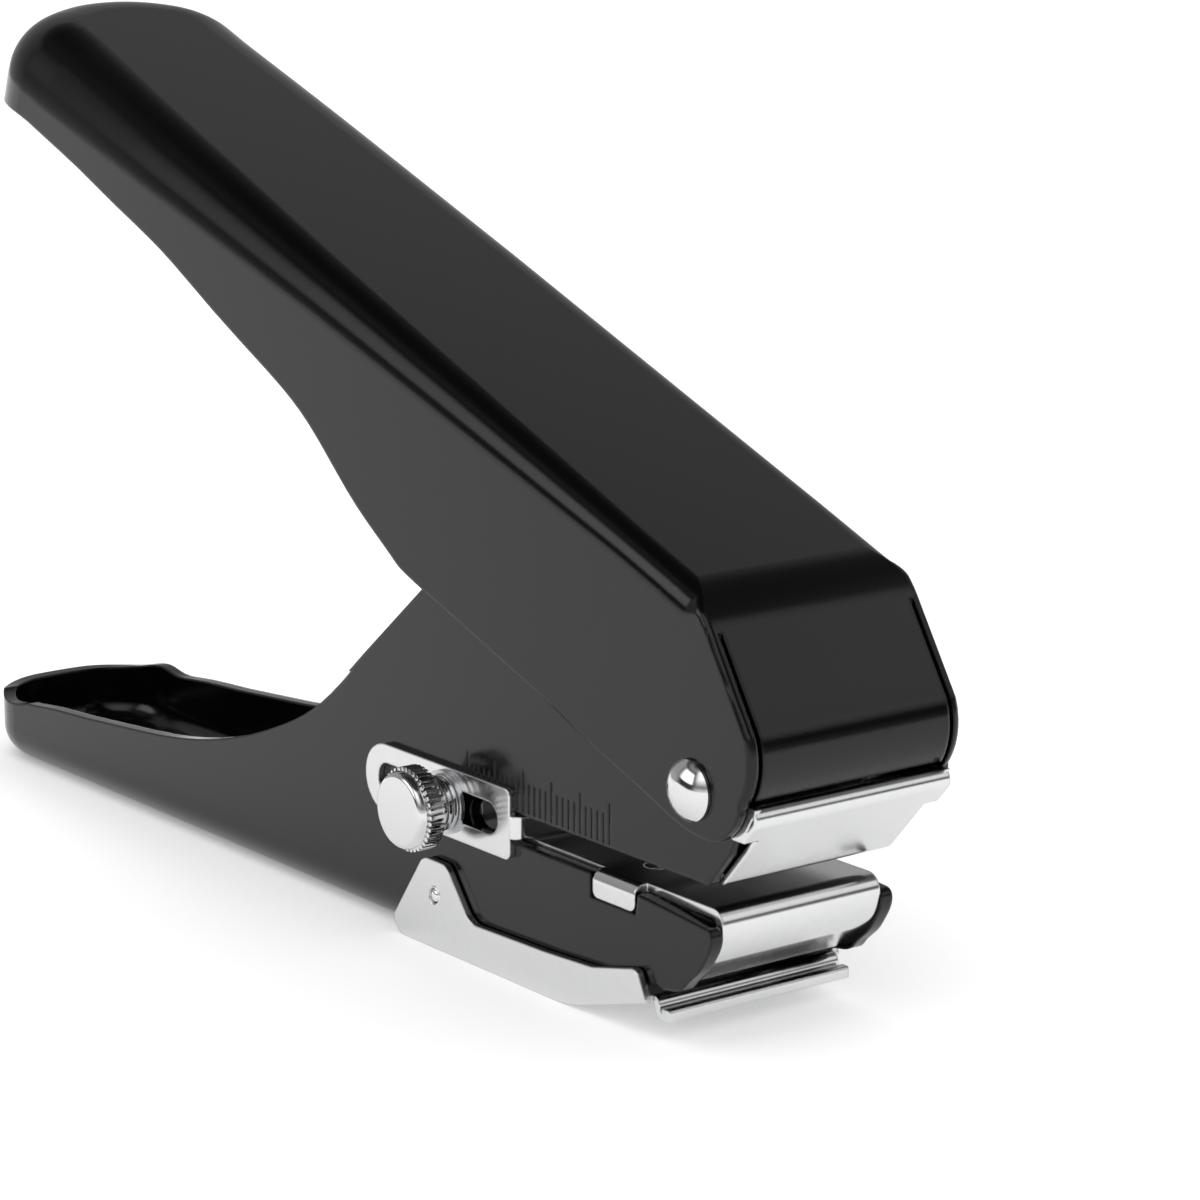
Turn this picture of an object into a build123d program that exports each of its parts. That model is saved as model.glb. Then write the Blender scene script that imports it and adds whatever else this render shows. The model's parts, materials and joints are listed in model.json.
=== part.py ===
"""Hand-held slot punch for identity cards.

A pressed steel base and a pressed steel lever turn about one rivet behind the
nose. The lever's bracket drives a cross pin, the pin pushes a carrier with the
slot-shaped blade down through the guide plate, the card gap and the die. A
sliding guide on the near cheek sets how deep the card goes in, and a hinged
tray under the jaw holds the chips.

Frame: +X points to the nose, +Y to the far side, +Z up, in millimetres. The
origin lies on the flat underside of the base, half way along the tool. Most
sketches measure X from the punch axis, so their planes stand at punch_x.
"""

import os
from math import atan2, cos, radians, sin, sqrt

from build123d import *

# ---------------------------------------------------------------- overall sizes
rear_reach = 134.5  # punch axis back to the end of the handle
nose_reach = 26.0  # punch axis forward to the front of the lever
punch_x = (rear_reach - nose_reach) / 2

# ---------------------------------------------------------------- sheets and gaps
base_sheet = 1.5
lever_sheet = 1.0
die_sheet = 1.0
guide_sheet = 0.6  # chrome lining of the upper jaw
slide_sheet = 0.8  # card depth guide
tray_sheet = 0.8  # chip tray
side_play = 0.75  # lever cheek to base cheek
seat_gap = 0.1  # plates that sit between the cheeks
run_gap = 0.05  # radial clearance of pins and shafts

# ---------------------------------------------------------------- base
base_width = 24.0
base_half = base_width / 2
base_inner = base_half - base_sheet
base_bend = 4.0  # outer radius along the underside
base_end_corner = 9.5  # plan radius of the handle's rear corners
base_end_crown = 1.2  # how far its rear wall bows out
cheek_top = 43.4  # highest corner of the cheeks
cheek_top_back = 29.0  # that corner, behind the punch axis
bottom_open_back = 38.5  # the underside is open from here to the nose
jaw_underside = 1.9  # lower edge of the jaw cheeks over the chip tray

# ---------------------------------------------------------------- card gap
throat_floor = 15.0
throat_height = 3.5
throat_depth = 24.6  # punch axis back to the end of the gap
die_rise = 0.5  # the die stands this much over the cheek edges
jaw_step = 0.35  # cheek edges ahead of the die's tabs lie lower by this
lining_drop = 0.2  # the upper lining hangs this much under the cheek edges
throat_top = throat_floor + throat_height
die_top = throat_floor + die_rise
lining_bottom = throat_top - lining_drop
lining_top = lining_bottom + guide_sheet

tab_back = 2.8  # die tabs, behind the punch axis
tab_front = 4.2
tab_bottom = 12.6
die_back = 22.0
die_corner = (16.2, 11.2)  # front corner of the die, and where its apron turns back
die_end = (9.9, 6.6)  # lower end of the die's apron

# ---------------------------------------------------------------- pivot and drive
pivot_ahead = 15.5  # punch axis forward to the pivot
pivot_z = 28.5
pivot_radius = 2.0
closing_angle = 22.0  # degrees that the lever turns
ear_radius = 6.5  # base cheeks around the pivot
dome_radius = 3.2
dome_height = 1.8
spacer_wall = 1.45
washer_flange = 2.6
washer_play = 0.05
half_angle = radians(closing_angle / 2)
drive_arm = pivot_ahead / cos(half_angle)  # pivot to drive pin
drive_rise = drive_arm * sin(half_angle)
drive_z = pivot_z + drive_rise  # drive pin at rest
punch_travel = 2 * drive_rise
drive_radius = 1.5

# ---------------------------------------------------------------- punch
slot_length = 14.0
slot_width = 3.0
cut_clearance = 0.05
tip_above_gap = 0.4  # tip over the card gap at rest
guide_plate_height = 2.4
guide_plate_back = 12.0
guide_plate_front = 8.5
insert_height = 2.2
insert_half = 7.0
carrier_half_x = 7.5
carrier_play = 0.4  # carrier to the bracket's sides
carrier_under = 3.9  # drive pin down to the carrier's underside
carrier_over = 4.0
blade_root = 1.9  # blade let into the carrier
spring_wire = 0.5
spring_outer = 3.2
spring_offset = 5.0
spring_bore = 3.8
spring_bore_depth = 6.0
spring_turns = 8
punch_tip = lining_bottom + tip_above_gap
guide_plate_top = lining_top + guide_plate_height
carrier_bottom = drive_z - carrier_under

# ---------------------------------------------------------------- lever
lever_front_half = base_half + side_play + lever_sheet
lever_flare = 1.95  # how much wider each side is at the rear
lever_rear_half = lever_front_half + lever_flare
lever_rear_reach = 120.3  # punch axis back to the rear wall, at the top plane
lever_end_corner = 11.2  # radius of the rear corners, seen square to the top
lever_end_crown = 7.5  # how far the rear wall bows out
lever_flare_start = 8.0  # ahead of the punch axis
lever_top_z = 54.06  # top plane over the punch axis
lever_slope = 0.37  # its rise per millimetre backwards
lever_shoulder = 7.7  # radius from the top into the cheeks, at the rear
lever_end_run = 16.3  # rounded end, ahead of which the shoulder tightens
lever_joint = lever_rear_reach - lever_end_run
flare_run = 18.0  # from there to where the flare ends
lever_flare_end = lever_joint - flare_run  # behind the punch axis
lever_depth = 110.0  # reaches under the lever, square to its top
shoulder_back = 50.0  # behind the punch axis
shoulder_middle = 4.8
shoulder_front = 2.8  # from shoulder_start to shoulder_stop ahead of the punch axis
shoulder_start = 5.0
shoulder_stop = 15.0
shoulder_end = 18.0  # from here on the corner is tight
shoulder_corner = 1.0
shoulder_nose = 40.0
shoulder_tip = 0.9
shoulder_radii = [
    (-lever_joint, lever_shoulder),
    (-shoulder_back, shoulder_middle),
    (shoulder_start, shoulder_front),
    (shoulder_stop, shoulder_front),
    (shoulder_end, shoulder_corner),
    (shoulder_nose, shoulder_tip),
]
flare_ease = 8.0  # half the run over which the cheeks turn into their flare
apron_gap = 0.6  # slot between the apron and each cheek
apron_top = 45.2  # upper end of the slots beside the apron
apron_bottom = 28.9
cheek_edge = 0.7  # radius on the cheeks' front edges
front_bend = 10.8  # radius from the top into the apron
bracket_wall = 1.2
bracket_half_x = 5.0
bracket_outer = base_inner - 0.5
bracket_bend = 2.2
carrier_half_y = bracket_outer - bracket_wall - carrier_play

# ---------------------------------------------------------------- card depth guide
guide_z = 17.15
guide_height = 7.8
guide_front = -16.4
guide_rear = -43.4
guide_slot_height = 3.6
guide_slot_front = -18.5
guide_slot_rear = -41.0
stop_height = 2.5
stop_reach = 9.0  # how far the stop reaches into the card gap
screw_x = -28.0
stud_radius = 1.5
knob_radius = 4.65
knob_face_radius = 4.1
knob_head = 3.3
knob_neck_radius = 3.15
knob_neck = 2.6
washer_height = 0.5
knurl_count = 40
knurl_depth = 0.29
nut_side = 7.0
nut_height = 2.2

# ---------------------------------------------------------------- chip tray
tray_pivot_x = -30.1
tray_pivot_z = 6.0
tray_play = 0.2
tray_front = 7.1
tray_floor_back = 27.5  # the tray's floor starts here, clear of the cheeks as it swings
tray_curve = 20.0  # radius from the flat floor into the rising one
tray_ridge = (7.9, 4.35)
lip_root = (8.1, 2.65)
lip_end = (9.4, 2.6)
hem_middle = (9.4, 2.88)  # the lip's edge is folded over into a hem
hem_depth = 1.3
hem_height = 1.36
hem_round = 0.32
lip_half = 12.0
dimple_radius = 1.2
dimple_depth = 1.2

# ---------------------------------------------------------------- scale on the cheek
mark_count = 26
mark_pitch = 1.0
mark_width = 0.22
mark_depth = 0.12
mark_short = 3.2
mark_long = 4.4
mark_lift = 0.35


def side_plane(y=0.0):
    """Sketch plane at the given Y: local x from the punch axis, local y up."""
    return Plane(origin=(punch_x, y, 0), x_dir=(1, 0, 0), z_dir=(0, -1, 0))


def plan_plane(z=0.0):
    """Level sketch plane: local x from the punch axis, local y to the far side."""
    return Plane(origin=(punch_x, 0, z), x_dir=(1, 0, 0), z_dir=(0, 0, 1))


def cross_plane(x):
    """Sketch plane across the tool, x ahead of the punch axis."""
    return Plane(origin=(punch_x + x, 0, 0), x_dir=(0, 1, 0), z_dir=(1, 0, 0))


os.makedirs("parts", exist_ok=True)

# ================================================================ base frame
base_front = nose_reach + 4


def tub_form(reach, half, corner, crown, bend, base_z, height, front):
    """Solid tub with a bowed, round-cornered rear end and a bent lower edge."""
    with BuildPart() as tub:
        with BuildSketch(plan_plane(base_z)) as plan:
            with BuildLine():
                rear = ThreePointArc((crown - reach, half), (-reach, 0), (crown - reach, -half))
                Polyline(rear @ 1, (front, -half), (front, half), rear @ 0)
            make_face()
            fillet(plan.vertices().group_by(Axis.X)[0], radius=corner)
        extrude(amount=height)
        underside = tub.faces().sort_by(Axis.Z)[0]
        bend_edges = underside.edges().filter_by(
            lambda edge: edge.center().X < punch_x + front - 0.1
        )
        fillet(bend_edges, radius=bend)
    return tub.part


ear_back_z = cheek_top - 4.9
ear_back_x = 6.0
nose_slant_low = 16.2
nose_slant_angle = radians(49)
slant_run = 5.0
slant_top = (
    nose_slant_low + slant_run * cos(nose_slant_angle),
    throat_top + slant_run * sin(nose_slant_angle),
)
gap_end_radius = throat_height / 2
notch_back = -tab_back - 0.5
notch_front = tab_front + 0.8
notch_bottom = tab_bottom - 0.15
rim = [
    (-rear_reach - 1, 8.4),
    (-rear_reach + 1.2, 8.2),
    (-rear_reach + 4.5, 8.35),
    (-rear_reach + 7.5, 8.9),
    (-rear_reach + 9.0, 8.9),
    (-rear_reach + 12.0, 8.45),
    (-118.0, 8.75),
    (-108.0, 9.55),
    (-98.3, 10.4),
    (-88.9, 11.3),
    (-79.7, 12.75),
    (-70.8, 15.0),
    (-61.9, 18.3),
    (-52.0, 23.8),
    (-47.5, 27.5),
    (-33.4, 39.5),
]
near_rim = [
    (-rear_reach + 2.2, 10.5),
    (-rear_reach + 4.0, 8.3),
    (-rear_reach + 6.5, 7.7),
    (-rear_reach + 9.5, 7.7),
    (-rear_reach + 13.0, 8.3),
    (-rear_reach + 16.0, 9.6),
]

with BuildPart() as base_frame:
    add(
        tub_form(
            rear_reach,
            base_half,
            base_end_corner,
            base_end_crown,
            base_bend,
            0,
            cheek_top + 2,
            base_front,
        )
    )
    add(
        tub_form(
            rear_reach - base_sheet,
            base_inner,
            base_end_corner - base_sheet,
            base_end_crown,
            base_bend - base_sheet,
            base_sheet,
            cheek_top + 2,
            base_front + 1,
        ),
        mode=Mode.SUBTRACT,
    )
    # Side outline of both cheeks, with the card gap and the open jaw underside.
    with BuildSketch(side_plane()):
        with BuildLine():
            rim_line = Spline(rim, tangents=((1, -0.1), (1, 0.82)))
            top_corner = (-cheek_top_back, cheek_top)
            ear = ThreePointArc(
                (pivot_ahead - 0.3 * ear_radius, pivot_z + ear_radius * sqrt(1 - 0.09)),
                (pivot_ahead + ear_radius * cos(radians(35)), pivot_z + ear_radius * sin(radians(35))),
                (pivot_ahead + ear_radius * cos(radians(-25)), pivot_z - ear_radius * sin(radians(25))),
            )
            Polyline(rim_line @ 1, top_corner, (ear_back_x, ear_back_z), ear @ 0)
            nose = Polyline(
                ear @ 1,
                slant_top,
                (nose_slant_low, throat_top),
                (-throat_depth + gap_end_radius, throat_top),
            )
            gap_end = ThreePointArc(
                nose @ 1,
                (-throat_depth, throat_floor + gap_end_radius),
                (-throat_depth + gap_end_radius, throat_floor),
            )
            jaw_top = Polyline(
                gap_end @ 1,
                (notch_front - 1.0, throat_floor),
                (notch_front - 1.0, throat_floor - jaw_step),
                (9.7, throat_floor - jaw_step - 0.37),
                (15.9, throat_floor - jaw_step - 0.85),
            )
            jaw_tip = Spline(
                [
                    jaw_top @ 1,
                    (16.68, 13.1),
                    (16.55, 11.9),
                    (15.7, 10.3),
                    (14.5, 8.7),
                    (12.8, 7.2),
                    (10.7, 5.9),
                    (9.4, 5.5),
                    (7.6, 5.75),
                ],
                tangents=((1, -0.2), (-1, 0.1)),
            )
            Polyline(
                jaw_tip @ 1,
                (5.0, 5.3),
                (-4.0, jaw_underside),
                (-bottom_open_back, jaw_underside),
                (-bottom_open_back, -1),
                (-rear_reach - 1, -1),
                rim_line @ 0,
            )
        make_face()
    extrude(amount=base_width, both=True, mode=Mode.INTERSECT)
    # The near side of the rear rim lies a little lower than the far side.
    with BuildSketch(side_plane()):
        with BuildLine():
            near_line = Spline(near_rim)
            Polyline(near_line @ 1, (-rear_reach + 9.5, 20.0), near_line @ 0)
        make_face()
    extrude(amount=base_width, mode=Mode.SUBTRACT)
    # Notches for the die's side tabs.
    with BuildSketch(side_plane()):
        with BuildLine():
            Polyline(
                (notch_back, throat_floor + 1),
                (notch_back, notch_bottom),
                (notch_front - 0.6, notch_bottom),
                (notch_front, throat_floor + 1),
                close=True,
            )
        make_face()
    extrude(amount=base_width, both=True, mode=Mode.SUBTRACT)
    # Pivot and chip tray holes.
    with BuildSketch(side_plane()):
        with Locations((pivot_ahead, pivot_z)):
            Circle(pivot_radius + run_gap)
        with Locations((tray_pivot_x, tray_pivot_z)):
            Circle(dimple_radius + run_gap)
    extrude(amount=base_width, both=True, mode=Mode.SUBTRACT)
    # Thumb screw hole in the near cheek.
    with BuildSketch(side_plane(-base_inner + 1)):
        with Locations((screw_x, guide_z)):
            Circle(stud_radius + run_gap)
    extrude(amount=base_sheet + 2, mode=Mode.SUBTRACT)
    # Scale marks pressed into the near cheek, every fifth one longer.
    with BuildSketch(side_plane(-base_half + mark_depth)):
        for mark in range(mark_count):
            length = mark_long if mark % 5 == 0 else mark_short
            with Locations((-mark * mark_pitch, throat_top + mark_lift + length / 2)):
                Rectangle(mark_width, length)
    extrude(amount=mark_depth + 1, mode=Mode.SUBTRACT)
base_frame.part.label = "base_frame"
export_step(base_frame.part, "parts/base_frame.step")


# ================================================================ lower jaw
seat_half = base_inner - seat_gap


def sheet_profile(points, radii, thickness):
    """Closed outline of a bent sheet that follows a centre line."""
    with BuildSketch() as profile:
        with BuildLine():
            FilletPolyline(*points, radius=radii)
        trace(line_width=thickness)
    return profile.sketch


die_mid = die_top - die_sheet / 2
with BuildPart() as die_plate:
    # Flat die with an apron that wraps down over the nose.
    with BuildSketch(side_plane()):
        add(
            sheet_profile(
                [(-die_back, die_mid), (die_corner[0], die_mid), (die_corner[0] - 0.3, die_corner[1]), die_end],
                [1.3, 5.0],
                die_sheet,
            )
        )
    extrude(amount=seat_half, both=True)
    # Side tabs fold out through the cheek notches.
    with BuildSketch(cross_plane(-tab_back)):
        for side in (1, -1):
            add(
                sheet_profile(
                    [
                        (side * (seat_half - 1), die_mid),
                        (side * (base_half - die_sheet / 2 + 0.05), die_mid),
                        (side * (base_half - die_sheet / 2 + 0.05), tab_bottom),
                    ],
                    [0.8],
                    die_sheet,
                )
            )
    extrude(amount=tab_back + tab_front)
    tab_ends = die_plate.faces().filter_by(
        lambda face: abs(face.center().Z - tab_bottom) < 0.01
        and abs(face.center().Y) > seat_half
    )
    fillet(tab_ends.edges().filter_by(Axis.Y), radius=0.8)
    with BuildSketch(plan_plane(die_top)):
        SlotOverall(slot_length + 2 * cut_clearance, slot_width + 2 * cut_clearance, rotation=90)
    extrude(amount=-die_sheet - 1, mode=Mode.SUBTRACT)
die_plate.part.label = "die_plate"
export_step(die_plate.part, "parts/die_plate.step")

insert_top = die_top - die_sheet
with BuildPart() as die_insert:
    with BuildSketch(plan_plane(insert_top)):
        RectangleRounded(2 * insert_half, 2 * seat_half, 1.0)
        SlotOverall(
            slot_length + 2 * cut_clearance,
            slot_width + 2 * cut_clearance,
            rotation=90,
            mode=Mode.SUBTRACT,
        )
    extrude(amount=-insert_height)
die_insert.part.label = "die_insert"
export_step(die_insert.part, "parts/die_insert.step")


# ================================================================ upper jaw
lining_mid = lining_bottom + guide_sheet / 2
roll_z = 27.9
roll_front = 25.3
roll_rear = 23.1
lining_knee = 16.9
lining_back = 10.0
slant_start = lining_knee + 0.3
slant_half = seat_half + 0.5  # the slanted part covers the cheek edges
flange_low = 24.4
flange_half = base_half + guide_sheet + 0.05
lining_path = [
    (roll_rear, roll_z),
    (roll_front, roll_z),
    (lining_knee, lining_mid),
    (-lining_back, lining_mid),
]
lining_radii = [0.9, 1.6]

with BuildPart() as jaw_lining:
    with BuildSketch(side_plane()):
        add(sheet_profile(lining_path, lining_radii, guide_sheet))
    extrude(amount=seat_half, both=True)
    # The slanted part lies in front of the cheeks, so it is wider.
    with BuildSketch(side_plane()):
        add(sheet_profile(lining_path, lining_radii, guide_sheet))
        with Locations(((slant_start - lining_back - 1) / 2, lining_mid)):
            Rectangle(slant_start + lining_back + 1, base_width, mode=Mode.SUBTRACT)
    extrude(amount=slant_half, both=True)
    # The rolled top is wider still and closes over the cheeks.
    with BuildSketch(side_plane()):
        add(sheet_profile(lining_path, lining_radii, guide_sheet))
        with Locations((roll_front, flange_low - 10)):
            Rectangle(2 * (roll_front + lining_back + 1), 20, mode=Mode.SUBTRACT)
    extrude(amount=flange_half, both=True)
    for side in (1, -1):
        with BuildSketch(side_plane(side * flange_half)):
            with BuildLine():
                Polyline(
                    (roll_front - 0.9, roll_z + guide_sheet / 2),
                    (20.8, roll_z + guide_sheet / 2),
                    (20.2, roll_z - 0.6),
                    (20.0, flange_low + 0.7),
                    (20.7, flange_low),
                    (22.1, flange_low),
                    close=True,
                )
            make_face()
        extrude(amount=side * guide_sheet)
    with BuildSketch(plan_plane(lining_top)):
        SlotOverall(slot_length + 2 * cut_clearance, slot_width + 2 * cut_clearance, rotation=90)
    extrude(amount=-guide_sheet - 1, mode=Mode.SUBTRACT)
jaw_lining.part.label = "jaw_lining"
export_step(jaw_lining.part, "parts/jaw_lining.step")

guide_plate_length = guide_plate_back + guide_plate_front
with BuildPart() as punch_guide:
    with BuildSketch(plan_plane(lining_top)):
        with Locations(((guide_plate_front - guide_plate_back) / 2, 0)):
            Rectangle(guide_plate_length, 2 * seat_half)
        SlotOverall(
            slot_length + 2 * cut_clearance,
            slot_width + 2 * cut_clearance,
            rotation=90,
            mode=Mode.SUBTRACT,
        )
    extrude(amount=guide_plate_height)
    chamfer(punch_guide.faces().sort_by(Axis.Z)[-1].outer_wire().edges(), length=0.4)
punch_guide.part.label = "punch_guide"
export_step(punch_guide.part, "parts/punch_guide.step")


# ================================================================ punch
with BuildPart() as punch_blade:
    with BuildSketch(plan_plane(punch_tip)):
        SlotOverall(slot_length, slot_width, rotation=90)
    extrude(amount=carrier_bottom + blade_root - punch_tip)
punch_blade.part.label = "punch_blade"
export_step(punch_blade.part, "parts/punch_blade.step")

slot_shift = drive_arm * (1 - cos(half_angle))  # how far the pin swings back and forth
with BuildPart() as punch_carrier:
    with BuildSketch(plan_plane(carrier_bottom)):
        RectangleRounded(2 * carrier_half_x, 2 * carrier_half_y, 1.0)
    extrude(amount=carrier_under + carrier_over)
    with BuildSketch(plan_plane(carrier_bottom)):
        SlotOverall(slot_length, slot_width, rotation=90)
    extrude(amount=blade_root, mode=Mode.SUBTRACT)
    with BuildSketch(plan_plane(carrier_bottom)):
        with Locations((-spring_offset, 0), (spring_offset, 0)):
            Circle(spring_bore / 2)
    extrude(amount=spring_bore_depth, mode=Mode.SUBTRACT)
    with BuildSketch(side_plane()):
        with Locations((-slot_shift / 2, drive_z)):
            SlotOverall(
                2 * (drive_radius + run_gap) + slot_shift + 0.2, 2 * (drive_radius + run_gap)
            )
    extrude(amount=base_width, both=True, mode=Mode.SUBTRACT)
    chamfer(punch_carrier.faces().sort_by(Axis.Z)[-1].outer_wire().edges(), length=0.6)
punch_carrier.part.label = "punch_carrier"
export_step(punch_carrier.part, "parts/punch_carrier.step")

spring_low = guide_plate_top
spring_high = carrier_bottom + spring_bore_depth
spring_mean = (spring_outer - spring_wire) / 2
spring_height = spring_high - spring_low - spring_wire
with BuildPart() as return_springs:
    for offset in (-spring_offset, spring_offset):
        with BuildLine():
            coil = Helix(
                spring_height / spring_turns,
                spring_height,
                spring_mean,
                center=(punch_x + offset, 0, spring_low + spring_wire / 2),
            )
        with BuildSketch(Plane(origin=coil @ 0, z_dir=coil % 0)):
            Circle(spring_wire / 2)
        sweep(path=coil)
return_springs.part.label = "return_springs"
export_step(return_springs.part, "parts/return_springs.step")


# ================================================================ pivot
pin_half = lever_front_half + run_gap
with BuildPart() as pivot_rivet:
    with BuildSketch(side_plane()):
        with Locations((pivot_ahead, pivot_z)):
            Circle(pivot_radius)
    extrude(amount=pin_half, both=True)
    # Domed heads, turned about the pivot axis.
    dome_plane = Plane(origin=(punch_x + pivot_ahead, 0, pivot_z), x_dir=(1, 0, 0), z_dir=(0, 0, 1))
    dome_axis = Axis((punch_x + pivot_ahead, 0, pivot_z), (0, 1, 0))
    for side in (1, -1):
        with BuildSketch(dome_plane):
            with BuildLine():
                crown = ThreePointArc(
                    (0, side * (pin_half + dome_height)),
                    (dome_radius * 0.66, side * (pin_half + dome_height * 0.76)),
                    (dome_radius, side * (pin_half + 0.35)),
                )
                Polyline(crown @ 1, (dome_radius, side * pin_half), (0, side * pin_half), crown @ 0)
            make_face()
        revolve(axis=dome_axis)
pivot_rivet.part.label = "pivot_rivet"
export_step(pivot_rivet.part, "parts/pivot_rivet.step")

with BuildPart() as pivot_spacer:
    with BuildSketch(side_plane()):
        with Locations((pivot_ahead, pivot_z)):
            Circle(pivot_radius + run_gap + spacer_wall)
            Circle(pivot_radius + run_gap, mode=Mode.SUBTRACT)
    extrude(amount=seat_half, both=True)
pivot_spacer.part.label = "pivot_spacer"
export_step(pivot_spacer.part, "parts/pivot_spacer.step")

with BuildPart() as pivot_washers:
    for side in (1, -1):
        with BuildSketch(side_plane(side * (base_half + washer_play))):
            with Locations((pivot_ahead, pivot_z)):
                Circle(pivot_radius + washer_flange)
                Circle(pivot_radius + run_gap, mode=Mode.SUBTRACT)
        extrude(amount=-side * (side_play - 2 * washer_play))
pivot_washers.part.label = "pivot_washers"
export_step(pivot_washers.part, "parts/pivot_washers.step")


# ================================================================ lever
slope_angle = atan2(lever_slope, 1)
top_front = (16.2, lever_top_z - lever_slope * 16.2)
crease = (24.2, 35.6)
curl_middle = (24.75, 32.8)
curl_end = (22.9, 27.9)


def top_height(x, inset=0.0):
    """Height of the lever's sloped top, lowered square to itself by a wall."""
    return lever_top_z - inset / cos(slope_angle) - lever_slope * x


def apron_corner(inset):
    """Where the apron's line, moved back by a wall, meets the lowered top line."""
    run = crease[0] - top_front[0]
    drop = crease[1] - top_front[1]
    start_x = crease[0] - inset
    share = (top_height(start_x, inset) - crease[1]) / (drop + lever_slope * run)
    return (start_x + share * run, crease[1] + share * drop)


def half_width(x):
    """Half the lever's width, flared between two eased corners."""
    flare = (lever_rear_half - lever_front_half) / (lever_flare_start + lever_flare_end)
    behind = x + lever_flare_end
    ahead = lever_flare_start - x
    if behind < -flare_ease:
        return lever_rear_half
    if behind < flare_ease:
        return lever_rear_half - flare * (behind + flare_ease) ** 2 / (4 * flare_ease)
    if ahead > flare_ease:
        return lever_rear_half - flare * behind
    if ahead > -flare_ease:
        return lever_front_half + flare * (ahead + flare_ease) ** 2 / (4 * flare_ease)
    return lever_front_half


def shoulder_radius(x):
    """Radius from the top into the cheeks, tightening towards the front."""
    for (back, wide), (ahead, tight) in zip(shoulder_radii, shoulder_radii[1:]):
        if x <= ahead:
            return wide + (tight - wide) * (x - back) / (ahead - back)
    return shoulder_radii[-1][1]


def lever_form(inset):
    """Solid lever shape with a sloped top and soft shoulders, inset by a wall."""
    reach = lever_rear_reach / cos(slope_angle) - inset
    joint = lever_joint / cos(slope_angle)
    rear_half = lever_rear_half - inset
    rear = -lever_rear_reach - 40
    across = Plane(
        origin=(punch_x, 0, lever_top_z),
        x_dir=(0, 1, 0),
        z_dir=(cos(slope_angle), 0, -sin(slope_angle)),
    )
    ease = [share * flare_ease for share in (-1, -0.5, 0, 0.5, 1)]
    stations = [-lever_joint]
    stations += [-lever_flare_end + step for step in ease]
    stations += [-1.28 * shoulder_back, -shoulder_back, -0.6 * shoulder_back, -0.24 * shoulder_back]
    stations += [lever_flare_start + step for step in ease[:3]]
    stations += [shoulder_stop - 4, shoulder_stop, shoulder_end, shoulder_nose]
    with BuildPart() as form:
        # Front: sections square to the top, narrowing with their shoulders.
        for x in stations:
            with BuildSketch(across.offset(x / cos(slope_angle))) as section:
                half = half_width(x) - inset
                Polygon((-half, -lever_depth), (half, -lever_depth), (half, -inset), (-half, -inset), align=None)
                fillet(
                    section.vertices().group_by(Axis.Y)[-1],
                    radius=max(shoulder_radius(x) - inset, 0.3),
                )
        loft(ruled=True)
        # Rear: a rounded end, its wall square to the top.
        top_plane = Plane(
            origin=(punch_x, 0, lever_top_z),
            x_dir=(cos(slope_angle), 0, -sin(slope_angle)),
            z_dir=(sin(slope_angle), 0, cos(slope_angle)),
        )
        with BuildPart(mode=Mode.PRIVATE) as grip_end:
            with BuildSketch(top_plane.offset(-lever_depth)) as end_plan:
                with BuildLine():
                    end = ThreePointArc(
                        (lever_end_crown - reach, rear_half),
                        (-reach, 0),
                        (lever_end_crown - reach, -rear_half),
                    )
                    Polyline(end @ 1, (-joint, -rear_half), (-joint, rear_half), end @ 0)
                make_face()
                fillet(end_plan.vertices().group_by(Axis.X)[0], radius=lever_end_corner - inset)
            extrude(amount=lever_depth - inset)
            end_top = grip_end.faces().sort_by(Axis(top_plane.origin, top_plane.z_dir))[-1]
            end_edges = end_top.edges().filter_by(
                lambda edge: (edge.center() - Vector(punch_x, 0, lever_top_z)).dot(top_plane.x_dir)
                < -joint - 0.1
            )
            fillet(end_edges, radius=lever_shoulder - inset)
        add(grip_end.part)
        # Front: a flat apron under the top bend, then a curl back to the nose.
        bend_point = apron_corner(inset)
        with BuildSketch(side_plane()) as front_cut:
            with BuildLine():
                curl = ThreePointArc(
                    (crease[0] - inset, crease[1]),
                    (curl_middle[0] - inset, curl_middle[1]),
                    (curl_end[0] - inset, curl_end[1]),
                )
                Polyline(
                    curl @ 1,
                    (curl_end[0] - inset, 0),
                    (rear, 0),
                    (rear, top_height(rear, inset)),
                    bend_point,
                    curl @ 0,
                )
            make_face()
            bend_corner = front_cut.vertices().sort_by_distance((*bend_point, 0))[0]
            fillet(bend_corner, radius=front_bend - inset)
        extrude(amount=2 * lever_rear_half, both=True, mode=Mode.INTERSECT)
        if inset == 0:
            # The front edges of the cheeks are rounded over.
            cheek_edges = form.edges().filter_by(
                lambda edge: edge.center().X > punch_x + 17.5
                and abs(abs(edge.center().Y) - lever_front_half) < 0.01
                and edge.center().Z > 24
            )
            fillet(cheek_edges, radius=cheek_edge)
    return form.part


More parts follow.
